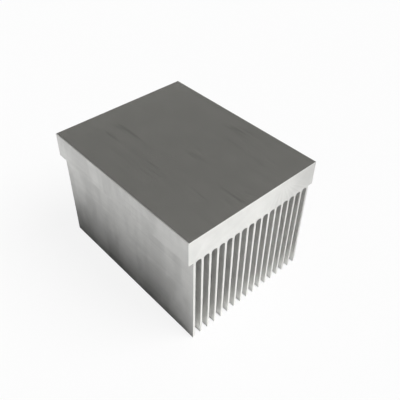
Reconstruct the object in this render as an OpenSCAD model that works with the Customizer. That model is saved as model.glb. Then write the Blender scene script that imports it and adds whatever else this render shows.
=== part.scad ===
// Extruded aluminium heat sink: a thick base plate with one row of straight fins under it.
// One profile, pushed through a die and sawn to length, so the part is one solid.
// It stands on its fin tips, with the flat mounting face on top.
// X runs across the fins, Y along the extrusion, Z up. Origin: centre of the footprint.

/* [Overall size] */
// Width over the base plate, across the fins
base_w = 100; // [80:1:140]
// Length of the sawn piece, along the fins
cut_l = 125; // [40:1:300]
// Height from the fin tips to the mounting face
overall_h = 85; // [50:1:110]

/* [Base plate] */
// Thickness of the base plate, from the slot roots to the mounting face
base_t = 17; // [8:0.5:30]
// Overhang of the base plate past the outermost fin, on each side
lip_w = 3.4; // [1.6:0.1:8]
// Radius on the four long edges of the base plate
edge_r = 0.5; // [0.2:0.1:1.2]
// Radius in the corner between the overhang and the outermost fin
lip_root_r = 0.6; // [0.2:0.1:1.2]

/* [Fins] */
// Number of fins
fin_n = 17; // [6:1:20]
// Thickness of a fin at its root
fin_root_t = 1.6; // [1.2:0.1:3]
// Thickness of a fin at its tip
fin_tip_t = 1.3; // [1.1:0.1:2.4]
// Radius in the two root corners of each slot
slot_root_r = 1.7; // [0.3:0.1:1.8]
// Radius on the two edges of each fin tip
tip_r = 0.3; // [0.1:0.05:0.5]

/* [Hidden] */

// Number of sides that draw a circle
$fn = 64;
// How far a cutter passes the face that it cuts
over = 1;
// How far an arc bites into the walls it blends, so that arc and wall cross in one clean line
bite = 0.0001;
// Length of a fin, from its root down to its tip
fin_h = overall_h - base_t;
// Width over the outermost fins
fins_w = base_w - 2 * lip_w;
// Spacing of the fins, centre to centre at the root
pitch = (fins_w - fin_root_t) / (fin_n - 1);
// Width of a slot at its root
gap_root = pitch - fin_root_t;
// Slope of a slot wall: each fin loses half of its taper on either face
wall_a = atan((fin_root_t - fin_tip_t) / 2 / fin_h);
// Half the width of a slot at height z over the fin tips, and on below them
function half_gap(z) = gap_root / 2 + (fin_h - z) * tan(wall_a);
// Root radius, limited so that the two root corners of a slot don't meet
root_r = min(slot_root_r, 0.45 * gap_root);
// Centre of a root radius, measured from the middle of the slot
root_x = half_gap(fin_h - root_r) - root_r / cos(wall_a);
root_z = fin_h - root_r;
// Centre of a tip radius, which lies inside the fin beside the slot
tip_x = half_gap(tip_r) + tip_r / cos(wall_a);

// A rectangle w by h with all four corners rounded, standing on y = 0
module rounded_bar(w, h, r) {
    translate([-w / 2 + r, 0]) square([w - 2 * r, h]);
    translate([-w / 2, r]) square([w, h - 2 * r]);
    for (x = [-w / 2 + r, w / 2 - r], y = [r, h - r])
        translate([x, y]) circle(r);
}

// What fills an inside corner: the square at the corner less the circle that touches both its walls.
// The corner lies at the origin and the walls run along +x and -y.
module corner_fill(r) {
    difference() {
        translate([0, -r]) square(r);
        translate([r, -r]) circle(r);
    }
}

// Section of the base plate
module plate_outline() {
    translate([0, fin_h]) rounded_bar(base_w, base_t, edge_r);
}

// Section of the fins before the slots are cut, with the corners below the overhang filled
module fin_block_outline() {
    difference() {
        translate([-fins_w / 2, 0]) square([fins_w, fin_h + base_t / 2]);
        for (side = [0, 1]) mirror([side, 0])
            translate([fins_w / 2 - tip_r, 0]) difference() {
                translate([0, -over]) square([tip_r + over, tip_r + over]);
                translate([0, tip_r]) circle(tip_r);
            }
    }
    for (side = [0, 1]) mirror([side, 0])
        translate([fins_w / 2, fin_h]) corner_fill(lip_root_r);
}

// Half of one slot, on its +x side: it widens towards the mouth, with a rounded root corner
// and an arc that eases the edge of the fin tip. Each arc touches the sloping wall where the
// radius square to that wall meets it.
module half_slot() {
    square_to_wall = [cos(wall_a), sin(wall_a)];
    difference() {
        polygon([
            [0, -over],
            [tip_x, -over],
            [tip_x, tip_r],
            [tip_x, tip_r] - tip_r * square_to_wall,
            [root_x, root_z] + root_r * square_to_wall,
            [root_x, root_z],
            [root_x, fin_h],
            [0, fin_h]
        ]);
        translate([tip_x, tip_r]) circle(tip_r + bite);
    }
    translate([root_x, root_z]) circle(root_r + bite);
}

// One air slot between two fins
module slot_outline() {
    half_slot();
    mirror([1, 0]) half_slot();
}

// The whole section of the extrusion
module profile() {
    difference() {
        union() {
            plate_outline();
            fin_block_outline();
        }
        for (i = [0 : fin_n - 2])
            translate([(i - (fin_n - 2) / 2) * pitch, 0]) slot_outline();
    }
}

// The heat sink: the profile carried along Y and sawn square at both ends
module heat_sink() {
    color([0.74, 0.74, 0.72])
        rotate([90, 0, 0])
            linear_extrude(cut_l, center = true)
                profile();
}

heat_sink();
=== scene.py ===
"""Extruded aluminium heat sink standing on its fin tips, in a plain studio.

Metres throughout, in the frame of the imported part: X runs across the fins, Y along the
extrusion, Z up from the fin tips to the mounting face.
"""

import math

import bpy
import numpy as np
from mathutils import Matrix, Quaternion, Vector


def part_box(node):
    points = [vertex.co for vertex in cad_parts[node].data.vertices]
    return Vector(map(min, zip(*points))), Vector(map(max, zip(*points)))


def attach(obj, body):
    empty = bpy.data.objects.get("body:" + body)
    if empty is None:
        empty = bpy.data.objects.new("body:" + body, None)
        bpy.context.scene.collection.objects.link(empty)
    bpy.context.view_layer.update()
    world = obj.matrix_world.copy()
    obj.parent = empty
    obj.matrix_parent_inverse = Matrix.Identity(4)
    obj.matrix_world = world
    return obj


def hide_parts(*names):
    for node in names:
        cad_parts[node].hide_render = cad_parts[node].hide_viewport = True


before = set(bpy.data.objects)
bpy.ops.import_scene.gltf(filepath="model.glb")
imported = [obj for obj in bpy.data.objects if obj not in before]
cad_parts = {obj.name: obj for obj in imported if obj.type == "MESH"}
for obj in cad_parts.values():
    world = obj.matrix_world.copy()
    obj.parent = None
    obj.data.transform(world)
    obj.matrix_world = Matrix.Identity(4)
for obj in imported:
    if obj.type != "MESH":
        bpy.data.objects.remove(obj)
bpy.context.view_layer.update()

# ---------------------------------------------------------------------------------------
# Studio: a pale sweep of card that curves up into a low wall all round, one large soft lamp
# in front on the right, and a dim room above the wall.
# ---------------------------------------------------------------------------------------
FLOOR_RADIUS = 2.2
SWEEP_RADIUS = 0.5
WALL_HEIGHT = 1.0


def surface_of_revolution(name, radius, height, turns):
    """A mesh whose point (i, j) is (radius[i] cos a, radius[i] sin a, height[i]), a = 2 pi j / turns."""
    angle = np.linspace(0, 2 * np.pi, turns, endpoint=False)
    points = np.stack(
        [
            radius[:, None] * np.cos(angle),
            radius[:, None] * np.sin(angle),
            np.repeat(height[:, None], turns, axis=1),
        ],
        axis=-1,
    )
    ring, around = np.meshgrid(np.arange(len(radius) - 1), np.arange(turns), indexing="ij")
    after = (around + 1) % turns
    quads = np.stack(
        [
            ring * turns + around,
            (ring + 1) * turns + around,
            (ring + 1) * turns + after,
            ring * turns + after,
        ],
        axis=-1,
    )
    mesh = bpy.data.meshes.new(name)
    mesh.from_pydata(points.reshape(-1, 3).tolist(), [], quads.reshape(-1, 4).tolist())
    mesh.polygons.foreach_set("use_smooth", np.ones(len(mesh.polygons), bool))
    mesh.update()
    sweep = bpy.data.objects.new(name, mesh)
    bpy.context.scene.collection.objects.link(sweep)
    return sweep


def make_studio_card():
    """Matt card under a strong lamp. For the camera most of it is its own plain white, so that it stays
    pale, and the rest is lit, so that it keeps the part's soft shadow. The metal mirrors it as lit."""
    material = bpy.data.materials.new("studio_card")
    material.use_nodes = True
    nodes, links = material.node_tree.nodes, material.node_tree.links
    nodes.clear()
    lit = nodes.new("ShaderNodeBsdfDiffuse")
    lit.inputs["Color"].default_value = (0.50, 0.50, 0.50, 1)
    white = nodes.new("ShaderNodeEmission")
    white.inputs["Color"].default_value = (1, 1, 1, 1)
    white.inputs["Strength"].default_value = 1.0
    path = nodes.new("ShaderNodeLightPath")
    share = nodes.new("ShaderNodeMath")
    share.operation = "MULTIPLY"
    share.inputs[1].default_value = 0.88
    links.new(path.outputs["Is Camera Ray"], share.inputs[0])
    mix = nodes.new("ShaderNodeMixShader")
    links.new(share.outputs[0], mix.inputs["Fac"])
    links.new(lit.outputs[0], mix.inputs[1])
    links.new(white.outputs[0], mix.inputs[2])
    output = nodes.new("ShaderNodeOutputMaterial")
    links.new(mix.outputs[0], output.inputs["Surface"])
    return material


bend = np.linspace(0, math.pi / 2, 13)
sweep_r = np.concatenate([
    [0.001, 0.3, 0.8, 1.4],
    FLOOR_RADIUS - SWEEP_RADIUS + SWEEP_RADIUS * np.sin(bend),
    [FLOOR_RADIUS],
])
sweep_z = np.concatenate([
    [0, 0, 0, 0],
    SWEEP_RADIUS * (1 - np.cos(bend)),
    [WALL_HEIGHT],
])
studio_sweep = surface_of_revolution("studio_sweep", sweep_r, sweep_z, 96)
studio_sweep.data.materials.append(make_studio_card())


# The lamp is so far off that it lights the whole floor alike, and as wide in the sky as a large softbox.
key_lamp = bpy.data.objects.new("key_lamp", bpy.data.lights.new("key_lamp", "SUN"))
key_lamp.data.energy = 5.6
key_lamp.data.angle = math.radians(42)
key_lamp.rotation_mode = "QUATERNION"
key_lamp.rotation_quaternion = Vector((0.57, -0.77, 1.3)).to_track_quat("Z", "Y")
bpy.context.scene.collection.objects.link(key_lamp)

world = bpy.data.worlds.new("dim_room")
world.use_nodes = True
world.node_tree.nodes["Background"].inputs["Color"].default_value = (1, 1, 1, 1)
world.node_tree.nodes["Background"].inputs["Strength"].default_value = 0.15
bpy.context.scene.world = world
bpy.context.scene.view_settings.view_transform = "Standard"

# The camera looks down on the near corner, from in front on the left.
CAMERA_PLACE = Vector((-0.1657, -0.1948, 0.2731))
CAMERA_AIM = Vector((0.0079, -0.0079, 0.0425))
CAMERA_ROLL = math.radians(-1.0)
camera = bpy.data.objects.new("camera", bpy.data.cameras.new("camera"))
camera.data.sensor_width = 36
camera.data.lens = 47
camera.data.clip_start, camera.data.clip_end = 0.01, 10
bpy.context.scene.collection.objects.link(camera)
camera.location = CAMERA_PLACE
camera.rotation_mode = "QUATERNION"
aim = (CAMERA_AIM - CAMERA_PLACE).normalized()
camera.rotation_quaternion = Quaternion(aim, CAMERA_ROLL) @ aim.to_track_quat("-Z", "Y")
bpy.context.scene.camera = camera

# ---------------------------------------------------------------------------------------
# The heat sink: one aluminium extrusion. A hot billet is pushed through a die, so every face
# along Y carries the die's fine drawn lines; the bar is then sawn square to length.
# ---------------------------------------------------------------------------------------
MM = 0.001
low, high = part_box("heat_sink")
half_width = high.x
half_length = high.y
top = high.z
base_thickness = 17 * MM
root = top - base_thickness          # height of the slot roots and of the underside of the overhang
overhang = 3.4 * MM
fin_count = 17
fin_root = 1.6 * MM
fin_tip = 1.3 * MM
edge_radius = 0.5 * MM
overhang_fillet = 0.6 * MM
slot_radius = 1.7 * MM
tip_radius = 0.3 * MM

fins_half = half_width - overhang
pitch = (2 * fins_half - fin_root) / (fin_count - 1)
slot_root_half = (pitch - fin_root) / 2
wall_slope = (fin_root - fin_tip) / 2 / root

# Into how many steps each arc and each flat of the section is divided. The flats have enough points
# to carry the die's lines.
EDGE_STEPS = 6
TIP_STEPS = 4
ROOT_STEPS = 8
TOP_STEPS = 80
PLATE_STEPS = 16
OVERHANG_STEPS = 3
FLANK_STEPS = 64
WALL_STEPS = 16


def slot_half(z):
    """Half the width of a slot at height z: it widens evenly from its root to its mouth."""
    return slot_root_half + (root - z) * wall_slope


def arc(centre, radius, first_deg, last_deg, steps):
    """Points centre + radius (cos a, sin a), a running from the first angle to the last, both ends kept."""
    angle = np.radians(np.linspace(first_deg, last_deg, steps + 1))
    return np.stack([centre[0] + radius * np.cos(angle), centre[1] + radius * np.sin(angle)], axis=-1)


def between(start, end, steps):
    """The points that divide the line from start to end into equal steps, both ends left out."""
    share = np.linspace(0, 1, steps + 1)[1:-1, None]
    return np.asarray(start) * (1 - share) + np.asarray(end) * share


def left_flank():
    """The section's left side, from the top face down the edge of the plate, under the overhang and
    down the outermost fin to its tip. Corners are arcs of their own radius."""
    edge_x = -half_width + edge_radius
    top_arc = arc((edge_x, top - edge_radius), edge_radius, 90, 180, EDGE_STEPS)
    low_arc = arc((edge_x, root + edge_radius), edge_radius, 180, 270, EDGE_STEPS)
    fillet_centre = (-fins_half - overhang_fillet, root - overhang_fillet)
    fillet = arc(fillet_centre, overhang_fillet, 90, 0, EDGE_STEPS)
    tip_arc = arc((-fins_half + tip_radius, tip_radius), tip_radius, 180, 270, TIP_STEPS)
    return np.concatenate([
        top_arc,
        between(top_arc[-1], low_arc[0], PLATE_STEPS),
        low_arc,
        between(low_arc[-1], fillet[0], OVERHANG_STEPS),
        fillet,
        between(fillet[-1], tip_arc[0], FLANK_STEPS),
        tip_arc,
    ])


def one_slot():
    """One slot about x = 0, from the fin tip on its left, up and over the two root arcs and down to the
    fin tip on its right. The right half is the left half mirrored."""
    tip_arc = arc((-slot_half(tip_radius) - tip_radius, tip_radius), tip_radius, -90, 0, TIP_STEPS)
    root_centre = (-slot_half(root - slot_radius) + slot_radius, root - slot_radius)
    root_arc = arc(root_centre, slot_radius, 180, 90, ROOT_STEPS)
    left = np.concatenate([tip_arc, between(tip_arc[-1], root_arc[0], WALL_STEPS), root_arc])
    return np.concatenate([left, left[::-1] * (-1, 1)])


slot_centres = (np.arange(fin_count - 1) - (fin_count - 2) / 2) * pitch
slots = one_slot()[None, :, :] + np.stack([slot_centres, 0 * slot_centres], axis=-1)[:, None, :]
left_side = left_flank()
right_side = left_side[::-1] * (-1, 1)
section = np.concatenate([
    left_side,
    slots.reshape(-1, 2),
    right_side,
    between(right_side[-1], left_side[0], TOP_STEPS),
])

# The die leaves shallow drawn lines that run the whole length. Each cut end has been filed over, which
# breaks its edges by a tenth of a millimetre and takes them back by less.
DRAWN_DEPTH = 0.012 * MM
FILED_IN = 0.12 * MM
FILED_BACK = 0.03 * MM
RINGS_BETWEEN = 11
SHARP_EDGE = math.radians(28)


def outward(loop):
    """Unit normals of a closed loop that runs anticlockwise: its central differences turned clockwise."""
    along = np.roll(loop, -1, axis=0) - np.roll(loop, 1, axis=0)
    along /= np.linalg.norm(along, axis=1, keepdims=True)
    return np.stack([along[:, 1], -along[:, 0]], axis=-1)


def drawn_section(loop, depth):
    """The loop drawn in by a random 0 to depth at each point, smoothed over three points."""
    random = np.random.default_rng(5).random(len(loop))
    smooth = (np.roll(random, 1) + 2 * random + np.roll(random, -1)) / 4
    return loop - outward(loop) * (depth * smooth)[:, None]


def extrusion(name, loop, half, filed_in, filed_back, rings_between, top_points):
    """The loop carried along Y from -half to half, with its two end rings filed_in from the skin and the
    full section starting filed_back from them. Point (i, j) is (loop_x[j], y[i], loop_z[j]). Faces
    are marked 0 for drawn skin, 1 for the mounting face, which is the loop's last top_points steps,
    and 2 for the cut ends and their filed edges."""
    drawn_in = loop - outward(loop) * filed_in
    full = np.linspace(-half + filed_back, half - filed_back, rings_between + 2)
    y = np.concatenate([[-half], full, [half]])
    rings, n = len(y), len(loop)
    flat = np.repeat(loop[None], rings, axis=0)
    flat[0] = flat[-1] = drawn_in
    points = np.stack([flat[..., 0], np.repeat(y[:, None], n, axis=1), flat[..., 1]], axis=-1)

    ring, at = np.meshgrid(np.arange(rings - 1), np.arange(n), indexing="ij")
    after = (at + 1) % n
    quads = np.stack(
        [ring * n + at, (ring + 1) * n + at, (ring + 1) * n + after, ring * n + after],
        axis=-1,
    )
    finish = np.where(at >= n - top_points, 1, 0)
    finish[[0, -1]] = 2

    front = list(range(n))
    back = list(range(rings * n - 1, (rings - 1) * n - 1, -1))
    mesh = bpy.data.meshes.new(name)
    mesh.from_pydata(points.reshape(-1, 3).tolist(), [], quads.reshape(-1, 4).tolist() + [front, back])
    mesh.polygons.foreach_set("material_index", np.append(finish.ravel(), [2, 2]).astype(np.int32))
    mesh.polygons.foreach_set("use_smooth", np.ones(len(mesh.polygons), bool))
    mesh.update()
    mesh.set_sharp_from_angle(angle=SHARP_EDGE)
    part = bpy.data.objects.new(name, mesh)
    bpy.context.scene.collection.objects.link(part)
    return part


heat_sink = extrusion(
    "extruded_heat_sink",
    drawn_section(section, DRAWN_DEPTH),
    half_length,
    FILED_IN,
    FILED_BACK,
    RINGS_BETWEEN,
    TOP_STEPS,
)


def new_finish(name):
    """An empty aluminium finish: its material, its nodes and links, the Principled shader and the
    piece's own coordinates."""
    material = bpy.data.materials.new(name)
    material.use_nodes = True
    nodes, links = material.node_tree.nodes, material.node_tree.links
    shader = nodes["Principled BSDF"]
    shader.inputs["Metallic"].default_value = 1.0
    place = nodes.new("ShaderNodeTexCoord").outputs["Object"]
    return material, nodes, links, shader, place


def stretched(nodes, links, place, stretch):
    """The coordinates scaled by stretch = (x, y, z): a small y draws a pattern out along the extrusion."""
    mapping = nodes.new("ShaderNodeMapping")
    mapping.inputs["Scale"].default_value = stretch
    links.new(place, mapping.inputs["Vector"])
    return mapping.outputs["Vector"]


def noise(nodes, links, place, scale, detail=3.0, roughness=0.5):
    """Smooth noise about 1 / scale metres across, from 0 to 1 with a mean of a half."""
    texture = nodes.new("ShaderNodeTexNoise")
    texture.inputs["Scale"].default_value = scale
    texture.inputs["Detail"].default_value = detail
    texture.inputs["Roughness"].default_value = roughness
    links.new(place, texture.inputs["Vector"])
    return texture.outputs["Fac"]


def spread(nodes, links, value, low_in, high_in, low_out, high_out, smooth=False):
    """value moved from one range to another and held inside it, with eased ends where smooth."""
    node = nodes.new("ShaderNodeMapRange")
    if smooth:
        node.interpolation_type = "SMOOTHSTEP"
    node.inputs["From Min"].default_value = low_in
    node.inputs["From Max"].default_value = high_in
    node.inputs["To Min"].default_value = low_out
    node.inputs["To Max"].default_value = high_out
    links.new(value, node.inputs["Value"])
    return node.outputs["Result"]


def combine(nodes, links, operation, *values):
    """Numbers put together one after another by a Math operation; each may be a plain number."""
    result = values[0]
    for value in values[1:]:
        node = nodes.new("ShaderNodeMath")
        node.operation = operation
        for socket, part in zip(node.inputs, (result, value)):
            if isinstance(part, (int, float)):
                socket.default_value = part
            else:
                links.new(part, socket)
        result = node.outputs[0]
    return result


def toned(nodes, links, colour, tone):
    """The colour made lighter or darker by the factor tone."""
    scale = nodes.new("ShaderNodeVectorMath")
    scale.operation = "SCALE"
    scale.inputs[0].default_value = colour
    links.new(tone, scale.inputs["Scale"])
    return scale.outputs["Vector"]


def bumped(nodes, links, shader, height, strength, distance):
    """Fine relief of the given height pattern on the shader's normal."""
    bump = nodes.new("ShaderNodeBump")
    bump.inputs["Strength"].default_value = strength
    bump.inputs["Distance"].default_value = distance
    links.new(height, bump.inputs["Height"])
    links.new(bump.outputs["Normal"], shader.inputs["Normal"])


def make_drawn_skin():
    """Mill finish as it leaves the die: grey, satin, with fine lines along Y and broader pale and dark
    streaks. The outside has been handled and stood in the wet: cloudy blotches that run down the
    fins. The outside is also painted a fifth darker than the slot walls, whose lighter tone stands in
    for light bounced down the slots. Painted shade darkens it further towards the fin tips, standing
    in for the shadowed floor that it mirrors there. The blotches and the tip shade also make it rougher."""
    material, nodes, links, shader, place = new_finish("mill_finish_and_painted_shade")
    lines = noise(nodes, links, stretched(nodes, links, place, (1, 0.012, 1)), 1500, 4)
    streaks = noise(nodes, links, stretched(nodes, links, place, (1, 0.05, 1)), 160, 3)
    mottle = noise(nodes, links, place, 110, 4, 0.6)
    runs = noise(nodes, links, stretched(nodes, links, place, (1, 1, 0.35)), 55, 4, 0.55)

    axes = nodes.new("ShaderNodeSeparateXYZ")
    links.new(place, axes.inputs["Vector"])
    from_middle = combine(nodes, links, "ABSOLUTE", axes.outputs["X"], 0)
    outside = spread(nodes, links, from_middle, fins_half - 1.2 * MM, fins_half - 0.6 * MM, 0, 1)
    # Painted shade: the outer faces darken towards the fin tips, standing in for the shadowed floor they
    # mirror near their foot.
    painted_tip_shade = spread(nodes, links, axes.outputs["Z"], 0, 0.7 * root, 0.40, 0)
    blotch = spread(nodes, links, runs, 0.40, 0.60, 0.11, 0, smooth=True)
    # Real blotches together with the painted tip shade, on the outer faces only.
    blotches_and_painted_shade = combine(nodes, links, "MULTIPLY", outside, combine(nodes, links, "ADD", painted_tip_shade, blotch))

    tone = combine(
        nodes, links, "MULTIPLY",
        spread(nodes, links, lines, 0.3, 0.7, 0.95, 1.05),
        spread(nodes, links, streaks, 0.3, 0.7, 0.97, 1.03),
        spread(nodes, links, mottle, 0.3, 0.7, 0.96, 1.04),
        # Painted shade and light: the outer faces are a fifth darker than the slot walls, and the slot
        # walls' lighter tone stands in for light bounced down the slots.
        spread(nodes, links, outside, 0, 1, 1, 0.80),
        combine(nodes, links, "SUBTRACT", 1, blotches_and_painted_shade),
    )
    links.new(toned(nodes, links, (0.94, 0.94, 0.92), tone), shader.inputs["Base Color"])
    matt = combine(
        nodes, links, "ADD",
        spread(nodes, links, lines, 0.3, 0.7, 0.41, 0.48),
        spread(nodes, links, mottle, 0.3, 0.7, 0.0, 0.04),
        combine(nodes, links, "MULTIPLY", blotches_and_painted_shade, 0.2),
    )
    links.new(matt, shader.inputs["Roughness"])
    bumped(nodes, links, shader, lines, 0.35, 0.03 * MM)
    return material


def make_mounting_face():
    """The broad top of the base, where the hot part sits: smoother and duller than the rest, almost
    even, with faint rubbed streaks along Y and a few darker ones towards one side."""
    material, nodes, links, shader, place = new_finish("mounting_face")
    lines = noise(nodes, links, stretched(nodes, links, place, (1, 0.015, 1)), 1800, 4)
    streaks = noise(nodes, links, stretched(nodes, links, place, (1, 0.12, 1)), 130, 4, 0.6)
    mottle = noise(nodes, links, place, 60, 4, 0.6)
    rubs = noise(nodes, links, stretched(nodes, links, place, (1, 0.10, 1)), 420, 2)
    patch = noise(nodes, links, place, 26, 1)
    rubbed = combine(
        nodes, links, "MULTIPLY",
        spread(nodes, links, rubs, 0.58, 0.70, 0, 0.12, smooth=True),
        spread(nodes, links, patch, 0.48, 0.62, 0, 1, smooth=True),
    )
    tone = combine(
        nodes, links, "MULTIPLY",
        spread(nodes, links, lines, 0.3, 0.7, 0.98, 1.02),
        spread(nodes, links, streaks, 0.3, 0.7, 0.98, 1.02),
        spread(nodes, links, mottle, 0.3, 0.7, 0.975, 1.025),
        combine(nodes, links, "SUBTRACT", 1, rubbed),
    )
    links.new(toned(nodes, links, (0.78, 0.77, 0.72), tone), shader.inputs["Base Color"])
    links.new(spread(nodes, links, lines, 0.3, 0.7, 0.24, 0.26), shader.inputs["Roughness"])
    bumped(nodes, links, shader, lines, 0.2, 0.02 * MM)
    return material


def make_sawn_end():
    """Freshly sawn metal: bright and matt, with the blade's arcs sweeping across the end. Painted shade
    makes it darker towards +X, standing in for light that falls off across the end."""
    material, nodes, links, shader, place = new_finish("sawn_end_and_painted_shade")
    flat = stretched(nodes, links, place, (1, 0, 1))
    from_blade = nodes.new("ShaderNodeVectorMath")
    from_blade.operation = "DISTANCE"
    from_blade.inputs[1].default_value = (0.06, 0, -0.19)
    links.new(flat, from_blade.inputs[0])
    arcs_at = nodes.new("ShaderNodeCombineXYZ")
    links.new(from_blade.outputs["Value"], arcs_at.inputs["X"])
    arcs = noise(nodes, links, arcs_at.outputs["Vector"], 1300, 3)
    grain = noise(nodes, links, place, 2600, 2)
    mottle = noise(nodes, links, place, 70, 4, 0.6)
    axes = nodes.new("ShaderNodeSeparateXYZ")
    links.new(place, axes.inputs["Vector"])
    tone = combine(
        nodes, links, "MULTIPLY",
        spread(nodes, links, arcs, 0.3, 0.7, 0.97, 1.02),
        spread(nodes, links, mottle, 0.3, 0.7, 0.95, 1.05),
        # Painted shade: the ends grow up to a fifth darker towards +X, standing in for light falling off
        # across them.
        spread(nodes, links, axes.outputs["X"], 0, half_width, 1, 0.78, smooth=True),
    )
    links.new(toned(nodes, links, (0.93, 0.93, 0.905), tone), shader.inputs["Base Color"])
    matt = combine(
        nodes, links, "ADD",
        spread(nodes, links, grain, 0.3, 0.7, 0.0, 0.10),
        spread(nodes, links, arcs, 0.3, 0.7, 0.45, 0.55),
    )
    links.new(matt, shader.inputs["Roughness"])
    relief = combine(nodes, links, "ADD", arcs, combine(nodes, links, "MULTIPLY", grain, 0.4))
    bumped(nodes, links, shader, relief, 0.4, 0.03 * MM)
    return material


heat_sink.data.materials.append(make_drawn_skin())
heat_sink.data.materials.append(make_mounting_face())
heat_sink.data.materials.append(make_sawn_end())
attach(heat_sink, "root")
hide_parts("heat_sink")
